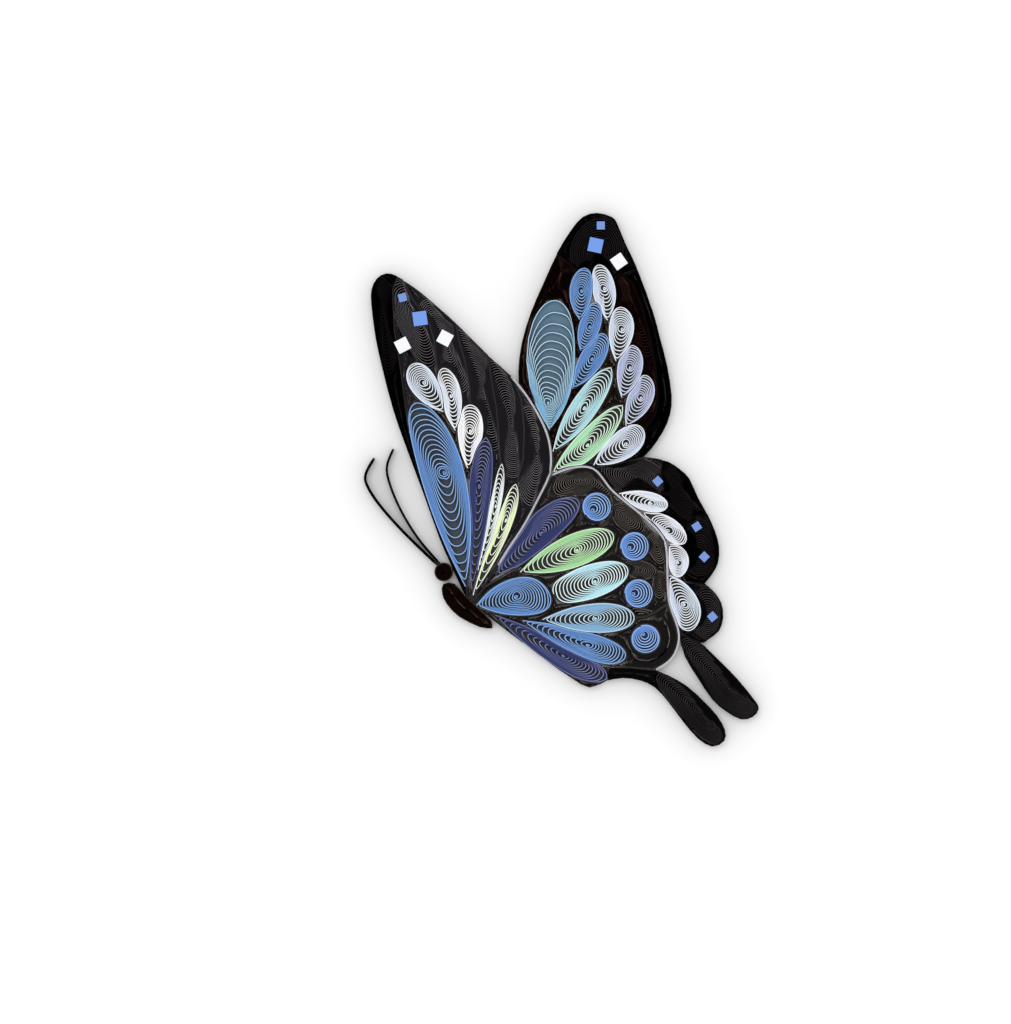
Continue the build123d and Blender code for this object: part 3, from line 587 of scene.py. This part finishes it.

# for each coil its tail, head, eye and broadest place in mm, the number of its turns, how thick they
# lie packed, the size of its open core and the turns in that, how its spare length is shared out and
# how square its turns are, and where they are its own, its strip, the height of the dark skin of
# painted shade under it and its paper's shade
coils = {
    "left_forewing_blue_coil": dict(
        tail=(-16.4, -18.7), head=(-25.3, 13.6), eye=(-20.3, 1.3), belly=(-20.7, 2.0),
        turns=13, pitch=0.165, core=1.1, rings=2, loose=(1.0, 1.05), paper="blue"),
    "left_forewing_navy_coil": dict(
        tail=(-15.4, -19.0), head=(-12.9, 7.3), eye=(-14.2, -0.9),
        turns=12, pitch=0.1, strip=0.15, core=0.4, paper="navy"),
    "left_forewing_aqua_coil": dict(
        tail=(-14.4, -15.9), head=(-10.2, 2.8), eye=(-11.3, -4.4),
        turns=9, pitch=0.07, strip=0.13, core=0.25, paper="aqua", shade="pale_aqua"),
    "left_forewing_green_coil": dict(
        tail=(-15.3, -20.2), head=(-7.8, -0.7), eye=(-9.5, -6.8),
        turns=9, pitch=0.09, strip=0.13, core=0.3, paper="green", shade="yellow_green"),
    "left_forewing_white_coil_1": dict(
        tail=(-20.2, 11.6), head=(-25.8, 19.9), eye=(-23.8, 16.7),
        turns=8, pitch=0.16, core=0.7, rings=1, paper="white", shade="cool_white"),
    "left_forewing_white_coil_2": dict(
        tail=(-18.2, 8.3), head=(-20.4, 19.3), eye=(-19.1, 14.5),
        turns=9, pitch=0.15, core=0.35, paper="white"),
    "left_forewing_white_coil_3": dict(
        tail=(-16.1, 1.8), head=(-15.6, 13.0), eye=(-15.7, 8.5),
        turns=8, pitch=0.17, core=0.6, rings=1, paper="white", shade="bright_white"),
    "right_forewing_blue_coil": dict(
        tail=(-2.0, 8.5), head=(-0.1, 31.0), eye=(-2.3, 13.3), belly=(-1.9, 20.4),
        turns=15, pitch=0.09, strip=0.15, core=0.45, loose=(1.0, 1.5), squareness=(2.4, 2.5), skin=1.1,
        paper="grey_blue"),
    "right_forewing_small_blue_coil_1": dict(
        tail=(3.2, 27.4), head=(4.1, 36.5), eye=(3.4, 32.6),
        turns=9, pitch=0.14, core=0.35, paper="blue"),
    "right_forewing_small_blue_coil_2": dict(
        tail=(3.3, 22.1), head=(6.1, 30.5), eye=(4.9, 26.4),
        turns=9, pitch=0.14, core=0.35, paper="blue"),
    "right_forewing_small_blue_coil_3": dict(
        tail=(1.9, 15.5), head=(7.6, 25.1), eye=(5.3, 20.9),
        turns=10, pitch=0.14, core=0.35, paper="blue"),
    "right_forewing_aqua_coil": dict(
        tail=(-1.5, 4.7), head=(8.6, 19.3), eye=(4.0, 12.5),
        turns=12, pitch=0.125, core=0.4, paper="aqua"),
    "right_forewing_green_coil": dict(
        tail=(-1.7, 0.7), head=(10.6, 12.8), eye=(4.6, 6.1),
        turns=11, pitch=0.14, core=0.4, paper="green", shade="light_green"),
    "right_forewing_white_coil_1": dict(
        tail=(8.0, 27.3), head=(6.4, 37.1), eye=(7.3, 33.0),
        turns=8, pitch=0.15, core=0.65, rings=1, paper="white", shade="cool_white"),
    "right_forewing_white_coil_2": dict(
        tail=(9.4, 20.3), head=(10.3, 29.8), eye=(10.4, 26.0),
        turns=8, pitch=0.15, core=0.65, rings=1, paper="white", shade="cool_white"),
    "right_forewing_white_coil_3": dict(
        tail=(10.4, 14.0), head=(12.4, 23.2), eye=(11.8, 19.4),
        turns=8, pitch=0.16, core=0.65, rings=1, paper="white", shade="lavender"),
    "right_forewing_white_coil_4": dict(
        tail=(11.1, 9.1), head=(14.8, 18.0), eye=(13.7, 14.2),
        turns=8, pitch=0.15, core=0.6, rings=1, paper="white", shade="lavender"),
    "right_forewing_white_coil_5": dict(
        tail=(5.5, 2.4), head=(14.1, 8.9), eye=(11.2, 6.3),
        turns=9, pitch=0.15, core=0.7, rings=1, paper="white", shade="cool_white"),
    "right_hindwing_white_coil_1": dict(
        tail=(9.8, -2.4), head=(18.4, -4.6), eye=(15.6, -4.1),
        turns=8, pitch=0.17, core=0.5, rings=1, paper="white"),
    "right_hindwing_white_coil_2": dict(
        tail=(13.2, -5.8), head=(21.5, -10.9), eye=(18.6, -8.8),
        turns=8, pitch=0.17, core=0.45, paper="white"),
    "right_hindwing_white_coil_3": dict(
        tail=(18.6, -11.0), head=(20.3, -16.9), eye=(20.2, -14.4),
        turns=7, pitch=0.18, core=0.6, rings=1, paper="white"),
    "right_hindwing_white_coil_4": dict(
        tail=(18.4, -16.3), head=(22.3, -26.1), eye=(21.3, -21.6),
        turns=9, pitch=0.15, core=0.55, rings=1, paper="white", shade="cool_white"),
    "left_hindwing_navy_coil": dict(
        tail=(-13.1, -18.4), head=(3.1, -3.4), eye=(-3.3, -9.0), belly=(-2.5, -7.7),
        turns=13, pitch=0.145, core=0.5, rings=1, paper="navy"),
    "left_hindwing_green_coil": dict(
        tail=(-7.2, -16.0), head=(9.2, -9.4), eye=(2.8, -12.0),
        turns=12, pitch=0.15, core=0.5, rings=1, paper="green"),
    "left_hindwing_aqua_coil": dict(
        tail=(-1.2, -19.7), head=(11.7, -15.3), eye=(5.9, -17.4),
        turns=11, pitch=0.17, core=0.6, rings=1, paper="aqua", shade="light_aqua"),
    "left_hindwing_blue_coil": dict(
        tail=(-14.7, -21.7), head=(-1.6, -20.7), eye=(-7.6, -20.0), belly=(-6.1, -20.0),
        turns=11, pitch=0.16, core=0.8, rings=1, paper="blue"),
    "left_hindwing_pale_blue_coil": dict(
        tail=(-3.4, -24.1), head=(12.8, -23.8), eye=(6.0, -23.8), belly=(7.2, -23.8),
        turns=11, pitch=0.16, core=0.5, rings=1, paper="pale_blue"),
    "left_hindwing_long_blue_coil": dict(
        tail=(-6.9, -24.2), head=(11.2, -30.6), eye=(4.8, -28.5), belly=(6.7, -29.3),
        turns=12, pitch=0.125, core=0.35, paper="blue"),
    "left_hindwing_lower_navy_coil": dict(
        tail=(-11.6, -23.2), head=(8.0, -34.3), eye=(0.6, -30.4), belly=(2.2, -31.6),
        turns=12, pitch=0.12, core=0.35, paper="navy"),
}

for coil_name, coil in coils.items():
    outline = drawn_smooth(loops_of(coil_name)[0])
    strip = coil.get("strip", open_strip)
    winding = {key: coil[key] for key in coil if key not in ("strip", "skin", "paper", "shade")}
    lines = wound_lines(*wind(outline, **winding), coil["pitch"], strip)
    piece = lay_strips(coil_name + "_wound", lines, strip * strip_share)
    piece.data.materials.append(papers[coil.get("shade", coil["paper"])])
    # a dark skin of painted shade under the coil, seen down between its turns
    shade_skin(piece, outline, shade_skin_paints[coil["paper"]], coil.get("skin", skin_height))
    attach(piece, "root")
    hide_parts(coil_name)


# Round blue coils
# Four tight coils of the same paper, each let loose to one side, so its turns lie packed on the other.
round_places = [(6.1, -4.7), (12.6, -11.5), (13.3, -19.6), (14.5, -27.4)]
round_open_angles = [35, 10, 0, -70]
round_eye_shift = 0.7
round_reach = 2.6
round_pitch = 0.19
round_core = 0.45
round_squareness = (2.0, 2.0)
round_points = 48

round_pieces = []
for place, open_angle in zip(round_places, round_open_angles):
    outline = min(
        (loop for loop in loops_of("left_hindwing_round_coils") if np.ptp(loop[:, 0]) > round_reach),
        key=lambda loop: np.linalg.norm(loop.mean(axis=0) - place))
    outline = drawn_smooth(outline)
    open_way = np.array((math.cos(math.radians(open_angle)), math.sin(math.radians(open_angle))))
    eye = np.array(place) - round_eye_shift * open_way
    winding = wind(
        outline, eye, head=place + round_reach * open_way, tail=place - round_reach * open_way, belly=place,
        turns=6, pitch=round_pitch, core=round_core, squareness=round_squareness, points=round_points)
    lines = wound_lines(*winding, round_pitch, round_pitch)
    piece = lay_strips("round_coil", lines, round_pitch * strip_share)
    piece.data.materials.append(papers["bright_blue"])
    # a dark skin of painted shade under the coil
    shade_skin(piece, outline, shade_skin_paints["bright_blue"])
    round_pieces.append(piece)
pick(round_pieces)
bpy.ops.object.join()
round_coils = bpy.context.object
round_coils.name = "round_coils_wound"
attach(round_coils, "root")
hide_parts("left_hindwing_round_coils")


# Black coils
# The ground of the wings, the tails and the body are coils of black paper too, pressed into the
# places that are left. Their turns run along whatever they are pressed against, and where a coil
# has a free eye its turns stand a little open towards its two ends.
black_pitch = 0.19
least_pitch = 0.07
network_pitch = 0.12
black_strip_share = 0.9     # of the pitch
open_spacing = 0.42
least_open_turns = 4.0
wall_share = 0.95           # of the way from an eye to the wall, for its open turns
grid_share = 0.8            # of the pitch, for the grid on which depths are taken
smallest_opening = 0.3      # narrower openings in a node are filled
wall_turn = 1.01            # pitches along the wall that stay free of open turns
line_slack = 0.01
longest_run = 2.5
least_slope = 0.1           # of the depths, where turns stand widest
shade_steps = (1.37, 0.61)  # how far a strip's shade moves on, from turn to turn and line to line
full_black_highlight_room = 0.25    # mm of open room beside a strip, at which painted highlight covers its whole cut edge
# painted highlight on the cut edge of each outermost black turn
outer_black_highlight = 0.2
# height of the dark skin of painted shade under the black coils
black_skin_height = 0.5
skin_overlap = 0.06            # mm by which the dark skin of painted shade reaches out, closing slits between neighbours

black_paper_colours = {
    "charcoal": ((27, 25, 29), (122, 117, 121), 0.02),
    "brown_black": ((24, 22, 22), (108, 102, 98), 0.02),
    "half_black": ((9, 8, 9), (80, 74, 76), 0.0),
    "wedge_brown": ((20, 16, 14), (98, 88, 80), 0.02),
    "body_brown": ((13, 6, 4), (78, 60, 52), 0.0),
    "red_black": ((9, 3, 3), (62, 40, 36), 0.0),
    "deep_black": ((3, 2, 3), (40, 36, 38), 0.0),
}
black_papers = {
    name: quilling_paper(name + "_paper", seen(*face), seen(*edge), 0.1, turn_contrast=0.8, shine=shine)
    for name, (face, edge, shine) in black_paper_colours.items()
}
# painted shade: a near-black, dull skin under the black strips
black_shade_skin = shade_skin_paint("black_shade_skin", seen(4, 3, 4))
black_shade_skin.node_tree.nodes["Principled BSDF"].inputs["Specular IOR Level"].default_value = 0.0

# for each black coil its paper, and for each free eye in it the eye, its two ends and its breadth
black_coils = {
    "left_forewing_front_black_coil": ("deep_black", [((-31.0, 30.5), (-31.6, 34.8), (-29.6, 18.0), 2.6)]),
    "left_forewing_tip_black_coil": ("charcoal", [((-24.7, 27.6), (-29.1, 33.8), (-22.9, 19.2), 3.6)]),
    "left_forewing_shoulder_black_coil": ("charcoal", [((-20.0, 23.6), (-23.6, 31.0), (-17.0, 14.8), 3.6)]),
    "left_forewing_middle_black_coil": ("charcoal", [((-13.6, 15.4), (-18.6, 25.6), (-11.6, 4.8), 3.6)]),
    "left_forewing_long_black_coil": ("charcoal", [((-8.5, 9.2), (-12.4, 20.4), (-8.6, 0.2), 4.2)]),
    "left_forewing_back_black_coil": ("charcoal", [((-4.3, 4.4), (-6.2, 12.6), (-5.6, -4.6), 3.6)]),
    "right_forewing_tip_black_coil": ("deep_black", [((6.0, 39.0), (6.4, 45.0), (4.0, 34.0), 4.6)]),
    "right_forewing_front_black_coil": ("red_black", []),
    "right_forewing_inner_black_coil": ("red_black", [((11.9, 30.6), (9.2, 36.0), (15.2, 21.0), 3.0)]),
    "right_forewing_rim_black_coil": ("deep_black", []),
    "right_forewing_small_black_coil": ("wedge_brown", []),
    "right_hindwing_top_black_coil": ("half_black", [((13.0, 0.3), (18.0, 0.0), (7.0, 2.6), 3.4)]),
    "right_hindwing_corner_black_coil": ("deep_black", [((20.6, -1.6), (17.8, 1.6), (24.8, -7.6), 3.4)]),
    "right_hindwing_lobe_black_coil": ("deep_black", [((23.9, -12.1), (23.2, -6.8), (23.2, -16.6), 3.6)]),
    "right_hindwing_lower_lobe_black_coil": (
        "half_black", [((25.2, -23.6), (24.2, -18.6), (24.8, -27.6), 3.2)]),
    "left_hindwing_top_black_coil": ("brown_black", [((3.6, -0.2), (-1.2, -2.4), (8.6, -2.4), 2.6)]),
    "left_hindwing_rim_black_coil": ("brown_black", [
        ((11.1, -6.6), (9.4, -4.2), (14.4, -8.6), 2.0),
        ((16.4, -11.6), (15.6, -9.0), (17.4, -14.6), 1.5),
        ((13.6, -15.6), (10.6, -14.6), (16.4, -15.8), 1.6),
        ((16.9, -17.6), (17.0, -15.8), (16.9, -20.6), 1.2),
        ((14.2, -23.6), (11.0, -22.6), (17.4, -24.0), 1.4)]),
    "left_hindwing_lower_black_coil": ("brown_black", []),
    "left_tail_black_coil": ("half_black", [((24.8, -41.2), (28.2, -45.4), (16.4, -33.6), 2.8)]),
    "right_tail_black_coil": ("half_black", [((29.2, -36.4), (33.6, -40.6), (20.8, -27.4), 3.2)]),
    "black_wedges": ("wedge_brown", []),
    "body_coil": ("body_brown", []),
}

# places between coils where only shade lies, stopped with scraps of black strip as painted shade
shade_fill_scraps = [
    [(-12.9, -18.1), (-11.9, -17.25), (-10.7, -16.0), (-10.85, -14.9), (-11.7, -16.0)],
    [(6.3, -31.85), (7.6, -32.7), (8.1, -33.8), (8.6, -32.3)],
]

# coils whose turns run as a net round the coloured coils that stand in them
networks = ("left_hindwing_top_black_coil", "left_hindwing_rim_black_coil")


def depth_in(loops, spots):
    """How far each spot lies inside the loops, in mm. Spots outside have a negative depth."""
    nearest = np.full(len(spots), 1e9)
    inside = np.zeros(len(spots), bool)
    for loop in loops:
        for first, last in zip(loop, np.roll(loop, -1, axis=0)):
            side = last - first
            share = np.clip(((spots - first) @ side) / (side @ side + 1e-12), 0, 1)
            gap = spots - first - share[:, None] * side
            nearest = np.minimum(nearest, (gap * gap).sum(axis=1))
            if first[1] != last[1]:
                spans = (first[1] > spots[:, 1]) != (last[1] > spots[:, 1])
                cut = first[0] + (spots[:, 1] - first[1]) * side[0] / side[1]
                inside ^= spans & (spots[:, 0] < cut)
    return np.where(inside, 1, -1) * np.sqrt(nearest)


def level_lines(field, level, corner, step):
    """The closed lines along which a field of depths has one value, as points in mm."""
    above = field > level
    code = (above[:-1, :-1].astype(int) + 2 * above[1:, :-1] + 4 * above[1:, 1:] + 8 * above[:-1, 1:])
    following = {}
    ring = ((0, 0), (1, 0), (1, 1), (0, 1))
    sides = list(zip(ring, ring[1:] + ring[:1]))
    for i, j in zip(*np.nonzero((code > 0) & (code < 15))):
        states = [above[i + a, j + b] for a, b in ring]
        leaving = None
        entries = []
        for side in range(8):
            here, there = states[side % 4], states[(side + 1) % 4]
            if here and not there and len(entries) < 2:
                leaving = side % 4
            if there and not here and leaving is not None:
                entries.append((leaving, side % 4))
                leaving = None
        names = [(min(a, c) + i, min(b, d) + j, int(a == c)) for (a, b), (c, d) in sides]
        for leave, enter in set(entries):
            following[names[leave]] = names[enter]
    lines = []
    while following:
        name = next(iter(following))
        line = []
        while name in following:
            i, j, upright = name
            other = (i, j + 1) if upright else (i + 1, j)
            low, high = field[i, j], field[other]
            share = (level - low) / (high - low)
            line.append((corner[0] + (i + share * (1 - upright)) * step,
                         corner[1] + (j + share * upright) * step))
            name = following.pop(name)
        if len(line) > 5:
            lines.append(np.array(line))
    return lines


def thinned(line, slack):
    """A closed line with the points left out that lie within the slack of its straight runs."""
    line = (np.roll(line, 1, axis=0) + 2 * line + np.roll(line, -1, axis=0)) / 4
    kept = [0]
    for number in range(2, len(line)):
        first = line[kept[-1]]
        way = line[number] - first
        length = np.linalg.norm(way) + 1e-9
        between = line[kept[-1] + 1:number] - first
        off = np.abs(way[0] * between[:, 1] - way[1] * between[:, 0]) / length
        if off.max() > slack or length > longest_run:
            kept.append(number - 1)
    return line[kept]


def bent_line(eye, first_end, last_end, steps=24, beyond=1.5):
    """A curve through the eye from one end to the other and a little beyond, and how far along it each
    of its points lies from the eye."""
    eye, first_end, last_end = (np.array(spot, float) for spot in (eye, first_end, last_end))
    first_length, last_length = np.linalg.norm(first_end - eye), np.linalg.norm(last_end - eye)
    at = np.linspace(-beyond * last_length, beyond * first_length, steps)
    slope = (first_end - eye) / first_length
    back = (eye - last_end) / last_length
    bend = (slope - back) / (first_length + last_length)
    run = (slope * last_length + back * first_length) / (first_length + last_length)
    return eye + at[:, None] * run + at[:, None] ** 2 * bend, at, first_length, last_length


def round_an_eye(spots, eye, first_end, last_end, breadth):
    """How far out each spot lies round an eye, with 1 for the rim of its open turns, and how long the
    turns reach on that side of the eye."""
    middle_line, lengthwise, first_length, last_length = bent_line(eye, first_end, last_end)
    nearest = np.full(len(spots), 1e9)
    reached = np.zeros(len(spots))
    for number in range(len(middle_line) - 1):
        side = middle_line[number + 1] - middle_line[number]
        part = np.clip((spots - middle_line[number]) @ side / (side @ side), 0, 1)
        off = np.hypot(*(spots - middle_line[number] - part[:, None] * side).T)
        closer = off < nearest
        nearest = np.where(closer, off, nearest)
        at = lengthwise[number] + part * (lengthwise[number + 1] - lengthwise[number])
        reached = np.where(closer, at, reached)
    length = np.where(reached > 0, first_length, last_length)
    return np.sqrt((reached / length) ** 2 + (nearest / breadth) ** 2), length


def wind_inside(node_name, eyes):
    """Strips that fill a node's outline, one pitch apart along its walls and open round its eyes."""
    loops = [loop for loop in loops_of(node_name) if np.ptp(loop, axis=0).max() > smallest_opening]
    if eyes and node_name not in networks:
        loops = loops[:1]
    # the holes of painted shade are wound with black strip too
    if node_name == "black_wedges":
        loops += [np.array(scrap) for scrap in shade_fill_scraps]
    pitch = network_pitch if node_name in networks else black_pitch
    counts = []
    for eye, first_end, last_end, _ in eyes:
        longer = max(math.dist(eye, first_end), math.dist(eye, last_end))
        room = depth_in(loops, np.array([eye], float))[0] * wall_share
        if node_name not in networks:
            pitch = min(max(room * open_spacing / longer, least_pitch), black_pitch)
        counts.append(max(min(longer / open_spacing, room / pitch), least_open_turns))
    step = grid_share * pitch
    everything = np.concatenate(loops)
    low, high = everything.min(axis=0) - step, everything.max(axis=0) + step
    across = np.arange(low[0], high[0] + step, step)
    upward = np.arange(low[1], high[1] + step, step)
    spots = np.stack(np.meshgrid(across, upward, indexing="ij"), axis=-1).reshape(-1, 2)
    field = depth_in(loops, spots)
    for (eye, first_end, last_end, breadth), count in zip(eyes, counts):
        roundness, length = round_an_eye(spots, eye, first_end, last_end, breadth)
        inside = (1 - roundness) * count * pitch
        outside = (roundness - 1) * length
        field = np.minimum(field, wall_turn * pitch + np.where(roundness < 1, inside, outside))
    field = field.reshape(len(across), len(upward))
    slope = np.hypot(*np.gradient(field, step))
    lines = []
    level, number = pitch / 2, 0
    while level < field.max():
        for line in level_lines(field, level, (across[0], upward[0]), step):
            line = thinned(line, line_slack)
            if len(line) < 4:
                continue
            at = ((line - low) / step).astype(int)
            steep = slope[np.clip(at[:, 0], 0, len(across) - 1), np.clip(at[:, 1], 0, len(upward) - 1)]
            # open room beside a turn sets the painted highlight on its cut edge
            open_room = pitch / np.maximum(steep, least_slope) - pitch
            edge_highlight = np.clip(open_room / full_black_highlight_room, 0 if number else outer_black_highlight, 1)
            turn = np.full(len(line), number * shade_steps[0] + len(lines) * shade_steps[1])
            lines.append((line, edge_highlight, turn, np.ones(len(line)), True))
        level += pitch
        number += 1
    return lines, pitch


def loose_copy(node_name, name, material):
    """A copy of a CAD node in another material, to be changed and kept as a piece."""
    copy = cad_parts[node_name].copy()
    copy.data = copy.data.copy()
    copy.parent = None
    copy.name = name
    copy.data.materials.clear()
    copy.data.materials.append(material)
    bpy.context.collection.objects.link(copy)
    return copy


for node_name, (paper_name, eyes) in black_coils.items():
    lines, pitch = wind_inside(node_name, eyes)
    piece = lay_strips(node_name + "_wound", lines, pitch * black_strip_share)
    piece.data.materials.append(black_papers[paper_name])
    # a dark skin of painted shade under the black strips
    if eyes and node_name not in networks:
        skin_line = drawn_in(loops_of(node_name)[0], -skin_overlap)
        shade_skin(piece, skin_line, black_shade_skin, black_skin_height)
    else:
        skin = loose_copy(node_name, "shade_skin", black_shade_skin)
        for vert in skin.data.vertices:
            vert.co.z = min(vert.co.z, black_skin_height * MM)
        pick([piece, skin])
        bpy.ops.object.join()
    # dark skins of painted shade in those holes
    if node_name == "black_wedges":
        for scrap in shade_fill_scraps:
            shade_skin(piece, scrap, black_shade_skin, black_skin_height)
    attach(piece, "root")
    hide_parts(node_name)


# Head
# One tight round coil of black paper, glued between the body and the roots of the antennae.
head_centre = (-20.2, -15.9)
head_reach = 1.6
head_pitch = 0.17
head_strip_share = 0.95     # of the pitch
head_core = 0.3

head_line = drawn_smooth(loops_of("head_coil")[0])
head_winding = wind(
    head_line, head_centre, head=(head_centre[0] - head_reach, head_centre[1]),
    tail=(head_centre[0] + head_reach, head_centre[1]), turns=8, pitch=head_pitch, core=head_core,
    squareness=round_squareness, points=round_points)
head_lines = wound_lines(*head_winding, head_pitch, head_pitch)
head = lay_strips("head_wound", head_lines, head_pitch * head_strip_share)
head.data.materials.append(black_papers["body_brown"])
# a dark skin of painted shade under the head
shade_skin(head, head_line, black_shade_skin, black_skin_height)
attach(head, "root")
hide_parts("head_coil")


# White edging
# A narrow strip of white paper folded double stands on edge along the back border of the left
# forewing, and another along the border between the hindwings. Both are glued to the coils they follow.
edging_strip = 0.09
edging_inset = 0.045

edging_paper = quilling_paper("edging_paper", seen(232, 232, 242), seen(232, 232, 242), 0.1)


def folded_strip(node_name, strip, inset, material):
    """A strip folded double that follows the outline of a long thin node."""
    line = drawn_in(drawn_smooth(loops_of(node_name)[0], steps=3), inset + strip / 2)
    plain = np.zeros(len(line))
    piece = lay_strips(node_name + "_folded", [(line, plain, plain, plain + 1, True)], strip)
    piece.data.materials.append(material)
    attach(piece, "root")
    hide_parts(node_name)


for node_name in ("left_forewing_edging", "left_hindwing_edging"):
    folded_strip(node_name, edging_strip, edging_inset, edging_paper)


# Antennae
# Two black strips, each folded double on edge and curled outwards at its tip. Their roots are glued
# to the head.
antenna_strip = 0.195
antenna_inset = 0.0
left_antenna_shadow_width = 0.04    # black width added along one side, a painted shadow

folded_strip("left_antenna", antenna_strip + left_antenna_shadow_width, antenna_inset - left_antenna_shadow_width,
             black_papers["deep_black"])
folded_strip("right_antenna", antenna_strip, antenna_inset, black_papers["deep_black"])


# Squares
# Small squares snipped from blue and white card, glued flat on top of the black coils.
card_edge = 0.03

card_colours = {
    "blue_card": (116, 156, 232),
    "dull_blue_card": (118, 150, 214),
    "white_card": (244, 245, 247),
}
cards = {
    name: quilling_paper(name, seen(*colour), seen(*colour), 1.0, turn_contrast=0.0, shine=0.2)
    for name, colour in card_colours.items()
}
for node_name, card_name, slot_name in (
        ("small_blue_squares", "dull_blue_card", "blue_card"),
        ("large_blue_squares", "blue_card", "blue_card"),
        ("white_squares", "white_card", "white_card")):
    piece = loose_copy(node_name, node_name + "_cut", cards[card_name])
    shape = bmesh.new()
    shape.from_mesh(piece.data)
    bmesh.ops.remove_doubles(shape, verts=shape.verts, dist=1e-6)
    shape.to_mesh(piece.data)
    shape.free()
    bevel = piece.modifiers.new("worn edge", "BEVEL")
    bevel.width = card_edge * MM
    bevel.segments = 2
    pick([piece])
    bpy.ops.object.modifier_apply(modifier=bevel.name)
    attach(piece, "root")
    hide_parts(node_name)
